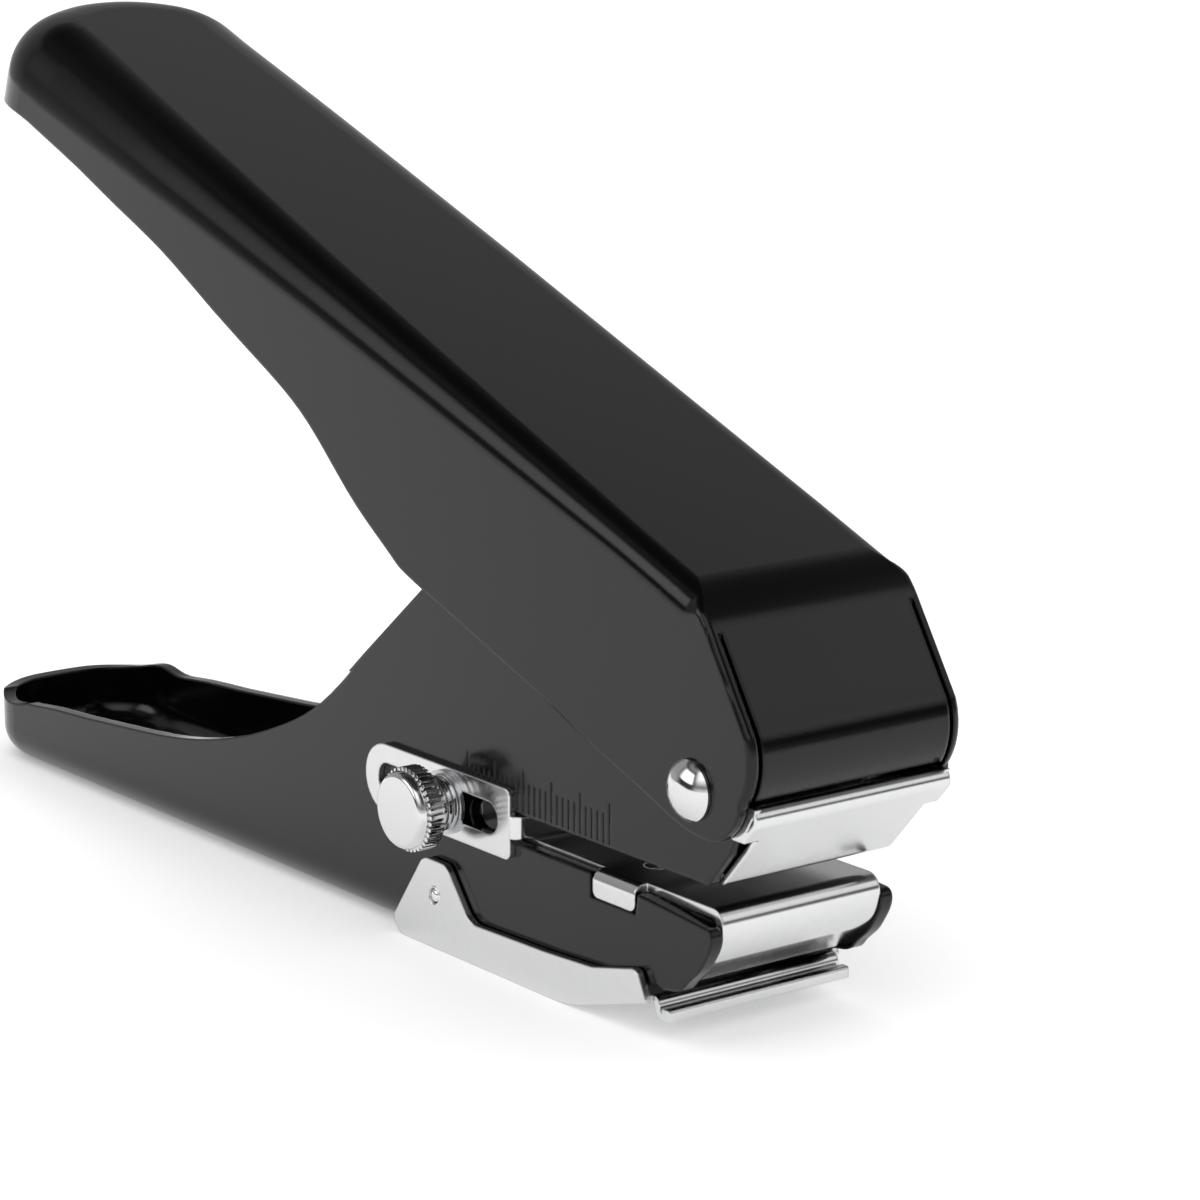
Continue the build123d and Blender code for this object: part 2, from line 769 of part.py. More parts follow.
flange_bottom = 85.2
with BuildPart() as lever_shell:
    add(lever_form(0))
    add(lever_form(lever_sheet), mode=Mode.SUBTRACT)
    # Lower edge of the cheeks and of the rear flange.
    with BuildSketch(side_plane()):
        with BuildLine():
            grip_edge = Spline(
                [
                    (-117.5, flange_bottom),
                    (-113.5, 84.5),
                    (-109.5, 83.3),
                    (-105.8, 81.9),
                    (-98.4, 79.1),
                    (-91.2, 76.05),
                    (-80.05, 71.3),
                    (-69.7, 65.8),
                    (-59.7, 60.75),
                    (-51.9, 56.3),
                    (-46.8, 52.0),
                    (-41.5, 47.4),
                    (-35.1, 42.95),
                    (-29.6, 40.45),
                ],
                tangents=((1, -0.1), (1, -0.37)),
            )
            ear_edge = Spline(
                [(-8.6, 32.85), (-2.0, 30.1), (8.7, 26.3), (17.6, 23.9)],
                tangents=((1, -0.37), (1, -0.05)),
            )
            ear_front = Spline(
                [ear_edge @ 1, (20.3, 24.4), (21.9, 25.8), (23.6, 28.9)],
                tangents=((1, -0.05), (0.5, 1)),
            )
            Line(grip_edge @ 1, ear_edge @ 0)
            Polyline(
                ear_front @ 1,
                (nose_reach + 2, 29.5),
                (nose_reach + 2, 110),
                (-lever_rear_reach - 12, 110),
                (-lever_rear_reach - 12, flange_bottom),
                grip_edge @ 0,
            )
        make_face()
    extrude(amount=2 * lever_rear_half, both=True, mode=Mode.INTERSECT)
    # The apron ends above the rolled lining and stands free of the cheeks.
    cheek_inner = lever_front_half - lever_sheet
    with BuildSketch(plan_plane()):
        with Locations((nose_reach - 8, 0)):
            Rectangle(20, 2 * cheek_inner)
    extrude(amount=apron_bottom, mode=Mode.SUBTRACT)
    for side in (1, -1):
        with BuildSketch(side_plane(side * (cheek_inner - apron_gap / 2))):
            with Locations((nose_reach, apron_top - 15)):
                RectangleRounded(16, 30, 1.0)
        extrude(amount=apron_gap / 2, both=True, mode=Mode.SUBTRACT)
    with BuildSketch(side_plane()):
        with Locations((pivot_ahead, pivot_z)):
            Circle(pivot_radius + run_gap)
    extrude(amount=2 * lever_rear_half, both=True, mode=Mode.SUBTRACT)
lever_shell.part.label = "lever_shell"
export_step(lever_shell.part, "parts/lever_shell.step")

bracket_ear = drive_radius + 1.9
with BuildPart() as drive_bracket:
    with BuildSketch(side_plane()):
        with BuildLine():
            Polyline(
                (-bracket_half_x, top_height(-bracket_half_x, lever_sheet)),
                (bracket_half_x, top_height(bracket_half_x, lever_sheet)),
                (bracket_half_x, top_height(bracket_half_x, lever_sheet + bracket_wall)),
                (-bracket_half_x, top_height(-bracket_half_x, lever_sheet + bracket_wall)),
                close=True,
            )
        make_face()
    extrude(amount=bracket_outer, both=True)
    for side in (1, -1):
        with BuildSketch(side_plane(side * bracket_outer)):
            with BuildLine():
                foot = CenterArc((0, drive_z), bracket_ear, 180, 180)
                Polyline(
                    foot @ 1,
                    (bracket_half_x, drive_z + 6),
                    (bracket_half_x, top_height(bracket_half_x, lever_sheet)),
                    (-bracket_half_x, top_height(-bracket_half_x, lever_sheet)),
                    (-bracket_half_x, drive_z + 6),
                    foot @ 0,
                )
            make_face()
            with Locations((0, drive_z)):
                Circle(drive_radius, mode=Mode.SUBTRACT)
        extrude(amount=side * bracket_wall)
    web = drive_bracket.faces().sort_by(Axis.Z)[-1]
    web_edges = web.edges().filter_by(lambda edge: abs(edge.center().Y) > bracket_outer - 0.1)
    fillet(web_edges, radius=bracket_bend)
drive_bracket.part.label = "drive_bracket"
export_step(drive_bracket.part, "parts/drive_bracket.step")

with BuildPart() as drive_pin:
    with BuildSketch(side_plane()):
        with Locations((0, drive_z)):
            Circle(drive_radius)
    extrude(amount=base_inner - 0.2, both=True)
    chamfer(drive_pin.edges().filter_by(GeomType.CIRCLE), length=0.3)
drive_pin.part.label = "drive_pin"
export_step(drive_pin.part, "parts/drive_pin.step")


# ================================================================ card depth guide
plate_face = base_half + slide_sheet
with BuildPart() as depth_guide:
    end_radius = guide_height / 2
    with BuildSketch(side_plane(-base_half)) as plate:
        with BuildLine():
            rear_end = ThreePointArc(
                (guide_rear + end_radius, guide_z + end_radius),
                (guide_rear, guide_z),
                (guide_rear + end_radius, guide_z - end_radius),
            )
            Polyline(
                rear_end @ 1,
                (guide_front, guide_z - end_radius),
                (guide_front, guide_z + end_radius),
                rear_end @ 0,
            )
        make_face()
        fillet(plate.vertices().group_by(Axis.X)[-1], radius=0.8)
        with Locations(((guide_slot_front + guide_slot_rear) / 2, guide_z)):
            SlotOverall(guide_slot_front - guide_slot_rear, guide_slot_height, mode=Mode.SUBTRACT)
    extrude(amount=slide_sheet)
    # The stop folds off the front edge and reaches into the card gap.
    with BuildSketch(plan_plane(die_top + 0.15)):
        add(
            sheet_profile(
                [
                    (guide_front - 2, -base_half - slide_sheet / 2),
                    (guide_front + 0.6, -base_half - slide_sheet / 2),
                    (guide_front + 0.6, -base_half + stop_reach),
                ],
                [0.9],
                slide_sheet,
            )
        )
    extrude(amount=stop_height)
depth_guide.part.label = "depth_guide"
export_step(depth_guide.part, "parts/depth_guide.step")

washer_face = plate_face + washer_height
with BuildPart() as clamp_washer:
    with BuildSketch(side_plane(-plate_face)):
        with Locations((screw_x, guide_z)):
            Circle(knob_neck_radius + 0.4)
            Circle(stud_radius + run_gap, mode=Mode.SUBTRACT)
    extrude(amount=washer_height)
clamp_washer.part.label = "clamp_washer"
export_step(clamp_washer.part, "parts/clamp_washer.step")

screw_plane = Plane(origin=(punch_x + screw_x, 0, guide_z), x_dir=(1, 0, 0), z_dir=(0, 0, 1))
screw_axis = Axis((punch_x + screw_x, 0, guide_z), (0, 1, 0))
neck_face = washer_face + knob_neck
knob_face = neck_face + knob_head
stud_root = 2.0  # stud let into the knob
groove = 0.3
with BuildPart() as clamp_knob:
    with BuildSketch(screw_plane):
        with BuildLine():
            Polyline(
                (0, -knob_face),
                (knob_face_radius - 0.2, -knob_face),
                (knob_face_radius, -knob_face + 0.2),
                (knob_radius, -knob_face + 0.7),
                (knob_radius, -neck_face - 0.25),
                (knob_radius - 0.25, -neck_face),
                (knob_neck_radius, -neck_face),
                (knob_neck_radius, -neck_face + 0.7),
                (knob_neck_radius - groove, -neck_face + 0.7),
                (knob_neck_radius - groove, -neck_face + 1.0),
                (knob_neck_radius, -neck_face + 1.0),
                (knob_neck_radius, -washer_face - 0.9),
                (knob_neck_radius - groove, -washer_face - 0.9),
                (knob_neck_radius - groove, -washer_face - 0.6),
                (knob_neck_radius, -washer_face - 0.6),
                (knob_neck_radius, -washer_face),
                (0, -washer_face),
                close=True,
            )
        make_face()
    revolve(axis=screw_axis)
    # Straight knurling around the head.
    with BuildSketch(side_plane(-neck_face)):
        with Locations((screw_x, guide_z)):
            with PolarLocations(knob_radius + 0.05, knurl_count):
                Circle(knurl_depth)
    extrude(amount=knob_head - 0.7, mode=Mode.SUBTRACT)
    with BuildSketch(side_plane(-washer_face)):
        with Locations((screw_x, guide_z)):
            Circle(stud_radius)
    extrude(amount=stud_root, mode=Mode.SUBTRACT)
clamp_knob.part.label = "clamp_knob"
export_step(clamp_knob.part, "parts/clamp_knob.step")

nut_face = base_inner - nut_height
with BuildPart() as clamp_stud:
    with BuildSketch(side_plane(-nut_face + 1.0)):
        with Locations((screw_x, guide_z)):
            Circle(stud_radius)
    extrude(amount=washer_face + stud_root - nut_face + 1.0)
    chamfer(clamp_stud.edges().sort_by(Axis.Y)[-1], length=0.4)
clamp_stud.part.label = "clamp_stud"
export_step(clamp_stud.part, "parts/clamp_stud.step")

with BuildPart() as clamp_nut:
    with BuildSketch(side_plane(-nut_face)):
        with Locations((screw_x, guide_z)):
            RectangleRounded(nut_side, nut_side, 0.6)
            Circle(stud_radius + run_gap, mode=Mode.SUBTRACT)
    extrude(amount=nut_height)
clamp_nut.part.label = "clamp_nut"
export_step(clamp_nut.part, "parts/clamp_nut.step")


# ================================================================ chip tray
tray_mid = tray_sheet / 2
tray_inner = base_half + tray_play
tray_outer = tray_inner + tray_sheet
with BuildPart() as chip_tray:
    # Floor that rises towards the nose and ends in a turned finger lip.
    with BuildSketch(side_plane()):
        add(
            sheet_profile(
                [(-tray_floor_back, tray_mid), (-6.0, tray_mid), tray_ridge, lip_root, lip_end],
                [tray_curve, 0.6, 0.7],
                tray_sheet,
            )
        )
        with Locations(hem_middle):
            RectangleRounded(hem_depth, hem_height, hem_round)
    extrude(amount=tray_inner + 0.1, both=True)
    with BuildSketch(plan_plane(-1)):
        with Locations((tray_front + 5, lip_half + 5), (tray_front + 5, -lip_half - 5)):
            Rectangle(10, 10)
    extrude(amount=10, mode=Mode.SUBTRACT)
    # Side walls with the hinge arms.
    for side in (1, -1):
        with BuildSketch(side_plane(side * tray_outer)):
            with BuildLine():
                FilletPolyline(
                    (-38.2, 1.6),
                    (-32.2, 10.0),
                    (-28.0, 10.0),
                    (-23.6, 4.5),
                    (-10.0, 4.9),
                    (-1.6, 5.4),
                    (5.8, 7.2),
                    (tray_front + 0.3, 3.95),
                    (-6.0, 0.0),
                    (-36.6, 0.0),
                    radius=[1.0, 1.9, 1.9, 3.0, 8.0, 8.0, 1.1, 0.3, tray_curve, 1.0],
                    close=True,
                )
            make_face()
        extrude(amount=side * tray_sheet)
        # Hinge dimple pressed into the cheek's hole.
        with BuildSketch(side_plane(side * tray_inner)):
            with Locations((tray_pivot_x, tray_pivot_z)):
                Circle(dimple_radius)
        extrude(amount=side * dimple_depth)
        with BuildSketch(side_plane(side * tray_outer)):
            with Locations((tray_pivot_x, tray_pivot_z)):
                Circle(dimple_radius - 0.35)
        extrude(amount=side * dimple_depth, mode=Mode.SUBTRACT)
chip_tray.part.label = "chip_tray"
export_step(chip_tray.part, "parts/chip_tray.step")
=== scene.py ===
"""Slot punch for identity cards: its finishes, its drawn pieces and its studio."""

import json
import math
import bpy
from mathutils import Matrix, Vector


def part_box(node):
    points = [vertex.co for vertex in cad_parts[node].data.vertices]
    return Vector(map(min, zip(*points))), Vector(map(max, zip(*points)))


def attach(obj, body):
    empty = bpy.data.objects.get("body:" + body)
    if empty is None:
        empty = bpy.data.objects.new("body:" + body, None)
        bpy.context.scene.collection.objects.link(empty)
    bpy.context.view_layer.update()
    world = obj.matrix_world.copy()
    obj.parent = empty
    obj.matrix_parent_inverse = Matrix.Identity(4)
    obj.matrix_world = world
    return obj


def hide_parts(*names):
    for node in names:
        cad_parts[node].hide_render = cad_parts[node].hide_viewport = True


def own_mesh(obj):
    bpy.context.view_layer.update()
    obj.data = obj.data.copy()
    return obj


bl_info = {
    "name": "Card Slot Punch",
    "version": (1, 0, 0),
    "blender": (4, 5, 0),
    "location": "View3D > Sidebar > Slot Punch",
    "description": "Paints, plates and lights a hand punch for identity cards",
    "category": "Object",
}

import bpy
from mathutils import Matrix, Vector

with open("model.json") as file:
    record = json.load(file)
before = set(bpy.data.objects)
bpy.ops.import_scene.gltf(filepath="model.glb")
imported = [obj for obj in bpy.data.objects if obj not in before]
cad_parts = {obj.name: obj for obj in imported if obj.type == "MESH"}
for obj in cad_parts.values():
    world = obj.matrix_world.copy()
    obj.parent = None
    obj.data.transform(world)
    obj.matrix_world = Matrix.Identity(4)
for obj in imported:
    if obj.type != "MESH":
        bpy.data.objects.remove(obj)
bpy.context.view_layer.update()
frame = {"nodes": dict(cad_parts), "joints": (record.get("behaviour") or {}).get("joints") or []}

# Places are in metres in the frame's axes. A pair is where a soft step starts and ends.
MM = 0.001
PUNCH_X = 54.25 * MM
SCREW = Vector((PUNCH_X - 28.0 * MM, 0.0, 17.15 * MM))  # where its axis crosses the middle
TRAY_HINGE = Vector((PUNCH_X - 30.1 * MM, 0.0, 6.0 * MM))

# The fold across the lever's apron.
CREASE_Z = 35.9 * MM
CREASE_WIDTH = 0.9 * MM
CREASE_AHEAD = (PUNCH_X + 19.0 * MM, PUNCH_X + 20.5 * MM)
CREASE_SIDES = (12.2 * MM, 12.6 * MM)
PAINT_RELIEF = 0.00012

# Where painted shade darkens the jaw's lining, towards the rear and downwards.
JAW_SHADE_KNEE = (PUNCH_X + 16.2 * MM, PUNCH_X + 17.2 * MM)
JAW_SHADE_HEIGHT = (19.6 * MM, 20.4 * MM)

# The knob's neck, as (y, radius) rings in millimetres.
KNOB_NECK = [
    (-13.3, 2.95), (-13.4, 3.15), (-13.85, 3.15), (-13.92, 2.8), (-14.1, 2.8),
    (-14.17, 3.15), (-14.55, 3.15), (-14.62, 2.8), (-14.8, 2.8), (-14.87, 3.15),
    (-15.5, 3.15), (-15.6, 3.0), (-15.9, 3.0),
]
# Its head: y, and how far the ring lies inside the head's radius.
KNOB_HEAD = [
    (-15.9, 0.55), (-15.98, 0.35), (-16.12, 0.0), (-17.96, 0.0), (-18.08, 0.4),
    (-18.2, 0.36), (-18.3, 0.34), (-18.34, 0.38), (-18.72, 0.46), (-18.98, 0.6),
    (-19.13, 0.78), (-19.19, 0.92), (-19.2, 1.0),
]
KNOB_MIDDLE = (-19.2, 0.5)
KNURL_ENDS = (-18.04, -16.05)
KNURL_MIDDLE = -17.2 * MM
TOOTH_STEPS = 6  # sides of the head for each tooth
GROOVE_STEPS = (3, 4)

# A hinge bead, as (y, radius) rings in millimetres, and the ring of painted shade in its groove.
BEAD_RINGS = [
    (12.7, 1.12), (13.02, 1.14), (13.09, 1.08), (13.09, 0.98), (13.0, 0.92), (12.78, 0.88),
    (12.76, 0.78), (12.9, 0.7), (13.04, 0.52), (13.1, 0.34), (13.13, 0.18), (13.14, 0.05),
]
BEAD_SIDES = 40
GROOVE_SHADE_INSIDE = (0.72 * MM, 0.79 * MM)
GROOVE_SHADE_OUTSIDE = (0.90 * MM, 0.99 * MM)

LAMP_PLACE = Vector((0.25, -0.35, 1.1))
CARD_TOWARD = Vector((0.60, 0.58, 0.50)).normalized()
EYE_PLACE = (0.36674, -0.25141, 0.13746)
EYE_RIGHT = Vector((0.60621, 0.79531, 0.0))
EYE_UP = Vector((-0.18252, 0.13913, 0.97331))
EYE_BACK = Vector((0.77408, -0.59003, 0.22950))


# ---------------------------------------------------------------- shader maths
class Tap:
    """An output of a shader node that can be used in sums and products."""

    def __init__(self, bench, socket):
        self.bench = bench
        self.socket = socket

    def _maths(self, operation, *terms):
        made = self.bench.add(
            "ShaderNodeMath", {"operation": operation}, dict(enumerate(terms))
        )
        return made["Value"]

    def __add__(self, other):
        return self._maths("ADD", self, other)

    def __radd__(self, other):
        return self._maths("ADD", other, self)

    def __sub__(self, other):
        return self._maths("SUBTRACT", self, other)

    def __rsub__(self, other):
        return self._maths("SUBTRACT", other, self)

    def __mul__(self, other):
        return self._maths("MULTIPLY", self, other)

    def __rmul__(self, other):
        return self._maths("MULTIPLY", other, self)

    def __truediv__(self, other):
        return self._maths("DIVIDE", self, other)

    def __rtruediv__(self, other):
        return self._maths("DIVIDE", other, self)

    def __pow__(self, other):
        return self._maths("POWER", self, other)

    def __abs__(self):
        return self._maths("ABSOLUTE", self)

    def most(self, other):
        return self._maths("MAXIMUM", self, other)

    def fade(self, low, high):
        """0 below low, 1 above high, with a soft step between them."""
        made = self.bench.add(
            "ShaderNodeMapRange",
            {"interpolation_type": "SMOOTHSTEP", "clamp": True},
            {"Value": self, "From Min": low, "From Max": high},
        )
        return made["Result"]


class Made:
    """A node just added, whose outputs are taken by name."""

    def __init__(self, bench, node):
        self.bench = bench
        self.node = node

    def __getitem__(self, name):
        found = [s for s in self.node.outputs if s.name == name and s.enabled]
        return Tap(self.bench, (found or [self.node.outputs[name]])[0])


class Bench:
    """The node tree of one material or of the world."""

    def __init__(self, owner):
        owner.use_nodes = True
        self.tree = owner.node_tree
        self.tree.nodes.clear()

    def add(self, kind, settings=None, sockets=None):
        """One node: its type, its settings, then the values or links of its sockets."""
        node = self.tree.nodes.new(kind)
        for name, value in (settings or {}).items():
            setattr(node, name, value)
        for name, value in (sockets or {}).items():
            if isinstance(name, int):
                socket = node.inputs[name]
            else:
                socket = next(s for s in node.inputs if s.name == name and s.enabled)
            if isinstance(value, Tap):
                self.tree.links.new(value.socket, socket)
            else:
                socket.default_value = value
        return Made(self, node)

    def place(self):
        """Object coordinates, which stay with the piece when it moves."""
        return self.add("ShaderNodeTexCoord")["Object"]

    def grain(self, scale, detail=2.0, roughness=0.5, stretch=(1, 1, 1)):
        """A noise of about 0 to 1, its scale in cycles per metre."""
        placed = self.add(
            "ShaderNodeMapping",
            {"vector_type": "POINT"},
            {"Vector": self.place(), "Scale": stretch},
        )["Vector"]
        return self.add(
            "ShaderNodeTexNoise",
            {"noise_dimensions": "3D"},
            {"Vector": placed, "Scale": scale, "Detail": detail, "Roughness": roughness},
        )["Fac"]

    def blend(self, amount, first, second):
        """From the first colour to the second."""
        return self.add(
            "ShaderNodeMix",
            {"data_type": "RGBA", "blend_type": "MIX"},
            {"Factor": amount, "A": first, "B": second},
        )["Result"]

    def relief(self, height, strength, distance, rounding=0.0):
        """A bump of the given height, over edges rounded by a radius."""
        sockets = {"Height": height, "Strength": strength, "Distance": distance}
        if rounding:
            sockets["Normal"] = self.add(
                "ShaderNodeBevel", {"samples": 6}, {"Radius": rounding}
            )["Normal"]
        return self.add("ShaderNodeBump", None, sockets)["Normal"]

    def surface(self, **sockets):
        """The one shader of a material, with its sockets by name."""
        named = {name.replace("_", " "): value for name, value in sockets.items()}
        shader = self.add("ShaderNodeBsdfPrincipled", None, named)
        self.finish(shader["BSDF"])

    def finish(self, shader):
        kind = (
            "ShaderNodeOutputWorld"
            if self.tree == getattr(bpy.context.scene.world, "node_tree", None)
            else "ShaderNodeOutputMaterial"
        )
        self.add(kind, None, {"Surface": shader})


def tint(red, green, blue):
    return (red, green, blue, 1.0)


# ---------------------------------------------------------------- finishes
def black_paint(name, crease=False):
    """Semi-gloss black stoving paint with a faint orange peel and soft edges."""
    settings = bpy.context.scene.punch_finish
    finish = bpy.data.materials.new(name)
    bench = Bench(finish)
    cloud = bench.grain(35.0, 3.0)
    peel = bench.grain(1500.0, 2.0)
    height = peel * 0.04
    if crease:
        # The press leaves a shallow valley where the apron turns back.
        parts = bench.add("ShaderNodeSeparateXYZ", None, {"Vector": bench.place()})
        drop = (parts["Z"] - CREASE_Z) / CREASE_WIDTH
        fold = 1 / (1 + drop * drop)
        ahead = parts["X"].fade(*CREASE_AHEAD)
        between = 1 - abs(parts["Y"]).fade(*CREASE_SIDES)
        height = height - fold * ahead * between
    dust = bench.grain(5200.0, 1.0).fade(0.70, 0.78)
    deep = tint(*settings.paint_colour)
    worn = tint(*(2.0 * value + 0.001 for value in settings.paint_colour))
    bench.surface(
        Base_Color=bench.blend(cloud * 0.4 + dust * 0.4, deep, worn),
        Roughness=settings.paint_roughness + 0.05 * (cloud - 0.5) + 0.05 * dust,
        IOR=1.40,
        Normal=bench.relief(height, 1.0, PAINT_RELIEF, settings.edge_radius),
    )
    return finish


def chrome_plate(name, painted_shade=False):
    """Satin nickel and chrome plate on pressed steel, with a faint ripple, and on request
    painted shade inside the jaw.
    """
    settings = bpy.context.scene.punch_finish
    finish = bpy.data.materials.new(name)
    bench = Bench(finish)
    ripple = bench.grain(160.0, 2.0)
    haze = bench.grain(900.0, 4.0)
    colour = bench.blend(haze, tint(0.66, 0.665, 0.67), tint(0.72, 0.72, 0.725))
    roughness = settings.chrome_roughness + 0.05 * haze
    if painted_shade:
        # Painted shade: inside the jaw the plate turns near black and rougher, where the jaw
        # lies in shade.
        parts = bench.add("ShaderNodeSeparateXYZ", None, {"Vector": bench.place()})
        inside = (1 - parts["X"].fade(*JAW_SHADE_KNEE)) * (1 - parts["Z"].fade(*JAW_SHADE_HEIGHT))
        colour = bench.blend(inside, colour, tint(0.035, 0.035, 0.037))
        roughness = roughness + 0.30 * inside
    bench.surface(
        Base_Color=colour,
        Metallic=1.0,
        Roughness=roughness,
        Normal=bench.relief(ripple, 0.10, 0.00004, settings.edge_radius * 0.7),
    )
    return finish


def turned_chrome():
    """Chrome plate over lathe marks, shared by the screw and the rivet."""
    finish = bpy.data.materials.get("turned_chrome")
    if finish:
        return finish
    finish = bpy.data.materials.new("turned_chrome")
    bench = Bench(finish)
    fine = bench.grain(2500.0, 3.0)
    bench.surface(
        Base_Color=bench.blend(fine, tint(0.65, 0.65, 0.655), tint(0.71, 0.71, 0.715)),
        Metallic=1.0,
        Roughness=0.07 + 0.05 * fine,
        Normal=bench.relief(fine, 0.05, 0.00001, 0.00008),
    )
    return finish


def bead_chrome_groove_shade():
    """Chrome plate with a ring of painted shade in the groove around the tray's hinge bead."""
    finish = bpy.data.materials.new("bead_chrome_groove_shade")
    bench = Bench(finish)
    parts = bench.add("ShaderNodeSeparateXYZ", None, {"Vector": bench.place()})
    away = ((parts["X"] - TRAY_HINGE.x) ** 2 + (parts["Z"] - TRAY_HINGE.z) ** 2) ** 0.5
    # Painted shade: a dark, rougher ring over the groove round the bead.
    groove_shade = away.fade(*GROOVE_SHADE_INSIDE) * (1 - away.fade(*GROOVE_SHADE_OUTSIDE))
    bench.surface(
        Base_Color=bench.blend(groove_shade, tint(0.80, 0.80, 0.80), tint(0.02, 0.02, 0.02)),
        Metallic=1.0,
        Roughness=0.10 + 0.35 * groove_shade,
    )
    return finish


def ground_steel():
    """Hardened tool steel with fine grinding lines."""
    finish = bpy.data.materials.new("ground_tool_steel")
    bench = Bench(finish)
    lines = bench.grain(900.0, 4.0, 0.6, (0.12, 4.0, 1.0))
    cloud = bench.grain(120.0, 2.0)
    bench.surface(
        Base_Color=bench.blend(lines, tint(0.40, 0.40, 0.41), tint(0.60, 0.60, 0.61)),
        Metallic=1.0,
        Roughness=0.24 + 0.12 * lines + 0.05 * cloud,
        Normal=bench.relief(lines, 0.20, 0.00001, 0.0001),
    )
    return finish


def zinc_steel():
    """Zinc plated inner steel, a little cloudy."""
    finish = bpy.data.materials.new("zinc_plated_steel")
    bench = Bench(finish)
    cloud = bench.grain(260.0, 4.0, 0.6)
    fine = bench.grain(2200.0, 2.0)
    bench.surface(
        Base_Color=bench.blend(cloud, tint(0.52, 0.53, 0.55), tint(0.68, 0.68, 0.69)),
        Metallic=1.0,
        Roughness=0.22 + 0.14 * cloud,
        Normal=bench.relief(fine, 0.12, 0.00001, 0.0001),
    )
    return finish


def spring_wire():
    """Drawn spring wire, darker along its draw marks."""
    finish = bpy.data.materials.new("drawn_spring_wire")
    bench = Bench(finish)
    fine = bench.grain(3200.0, 3.0)
    bench.surface(
        Base_Color=bench.blend(fine, tint(0.32, 0.32, 0.33), tint(0.50, 0.50, 0.51)),
        Metallic=1.0,
        Roughness=0.25 + 0.12 * fine,
        Normal=bench.relief(fine, 0.15, 0.00001),
    )
    return finish


def dress(finish, *names):
    """Puts one finish in every material slot of the named frame pieces."""
    for name in names:
        for slot in frame["nodes"][name].material_slots:
            slot.material = finish


# ---------------------------------------------------------------- drawn pieces
def edit_mode(on):
    bpy.ops.object.mode_set(mode="EDIT" if on else "OBJECT")


def pick(piece, wanted):
    """Selects just the vertices of a mesh whose place is wanted."""
    edit_mode(True)
    bpy.ops.mesh.select_mode(type="VERT")
    bpy.ops.mesh.select_all(action="DESELECT")
    edit_mode(False)
    for vertex in piece.data.vertices:
        vertex.select = bool(wanted(vertex.co))
    edit_mode(True)


def settle(piece, angle=30.0):
    """Moves the piece's place into its mesh and closes it, smooth between its edges."""
    bpy.ops.object.select_all(action="DESELECT")
    piece.select_set(True)
    bpy.context.view_layer.objects.active = piece
    bpy.ops.object.transform_apply(location=True, rotation=True, scale=True)
    edit_mode(True)
    bpy.ops.mesh.select_all(action="SELECT")
    bpy.ops.mesh.remove_doubles(threshold=0.002 * MM)
    bpy.ops.mesh.normals_make_consistent(inside=False)
    edit_mode(False)
    bpy.ops.object.shade_smooth_by_angle(angle=math.radians(angle))


def turned(name, centre, profile, sides):
    """A piece turned about an axis along Y, from (y, radius) rings in millimetres."""
    bpy.ops.object.select_all(action="DESELECT")
    bpy.ops.mesh.primitive_circle_add(
        vertices=sides,
        radius=profile[0][1] * MM,
        fill_type="NGON",
        location=(centre.x, profile[0][0] * MM, centre.z),
        rotation=(math.pi / 2, 0, 0),
    )
    piece = bpy.context.object
    piece.name = name
    bpy.ops.object.transform_apply(location=True, rotation=True, scale=True)
    edit_mode(True)
    bpy.ops.mesh.select_all(action="SELECT")
    for (before, wide), (after, narrow) in zip(profile, profile[1:]):
        bpy.ops.mesh.extrude_region_move(
            TRANSFORM_OT_translate={"value": (0, (after - before) * MM, 0)}
        )
        share = narrow / wide
        bpy.ops.transform.resize(
            value=(share, 1, share), center_override=(centre.x, after * MM, centre.z)
        )
    edit_mode(False)
    return piece


# ---------------------------------------------------------------- sizes and colours
class PunchFinish(bpy.types.PropertyGroup):
    """Colours and gloss of the punch."""

    paint_colour: bpy.props.FloatVectorProperty(
        name="Paint colour",
        description="Colour of the painted steel",
        subtype="COLOR",
        size=3,
        min=0.0,
        max=1.0,
        default=(0.0010, 0.0010, 0.0011),
    )
    paint_roughness: bpy.props.FloatProperty(
        name="Paint roughness",
        description="Micro-roughness of the paint",
        min=0.0,
        max=1.0,
        default=0.15,
    )
    chrome_roughness: bpy.props.FloatProperty(
        name="Chrome roughness",
        description="Micro-roughness of the plated steel",
        min=0.0,
        max=1.0,
        default=0.13,
    )
    edge_radius: bpy.props.FloatProperty(
        name="Edge radius",
        description="How far the sheared edges are rounded by their finish",
        subtype="DISTANCE",
        unit="LENGTH",
        min=0.0,
        default=0.45 * MM,
    )


class PunchKnob(bpy.types.PropertyGroup):
    """Sizes of the thumb screw's knurled head."""

    radius: bpy.props.FloatProperty(
        name="Head radius",
        description="Radius over the tips of the knurl",
        subtype="DISTANCE",
        unit="LENGTH",
        min=0.0035,
        max=0.00465,
        default=4.65 * MM,
    )
    knurl_depth: bpy.props.FloatProperty(
        name="Knurl depth",
        description="Depth of the grooves between the teeth",
        subtype="DISTANCE",
        unit="LENGTH",
        min=0.0,
        max=0.0006,
        default=0.46 * MM,
    )
    teeth: bpy.props.IntProperty(
        name="Teeth",
        description="Number of teeth around the head",
        min=12,
        max=60,
        default=40,
    )


class PunchStudio(bpy.types.PropertyGroup):
    """Light and surroundings of the punch."""

    wall_strength: bpy.props.FloatProperty(
        name="Wall brightness",
        description="Brightness of the surroundings, 1 is white",
        min=0.0,
        default=0.95,
    )
    lamp_power: bpy.props.FloatProperty(
        name="Lamp power",
        description="Power of the large soft lamp",
        subtype="POWER",
        unit="POWER",
        min=0.0,
        default=2.0,
    )
    floor_reach: bpy.props.FloatProperty(
        name="Floor reach",
        description="Radius of the floor",
        subtype="DISTANCE",
        unit="LENGTH",
        min=0.5,
        default=4.0,
    )


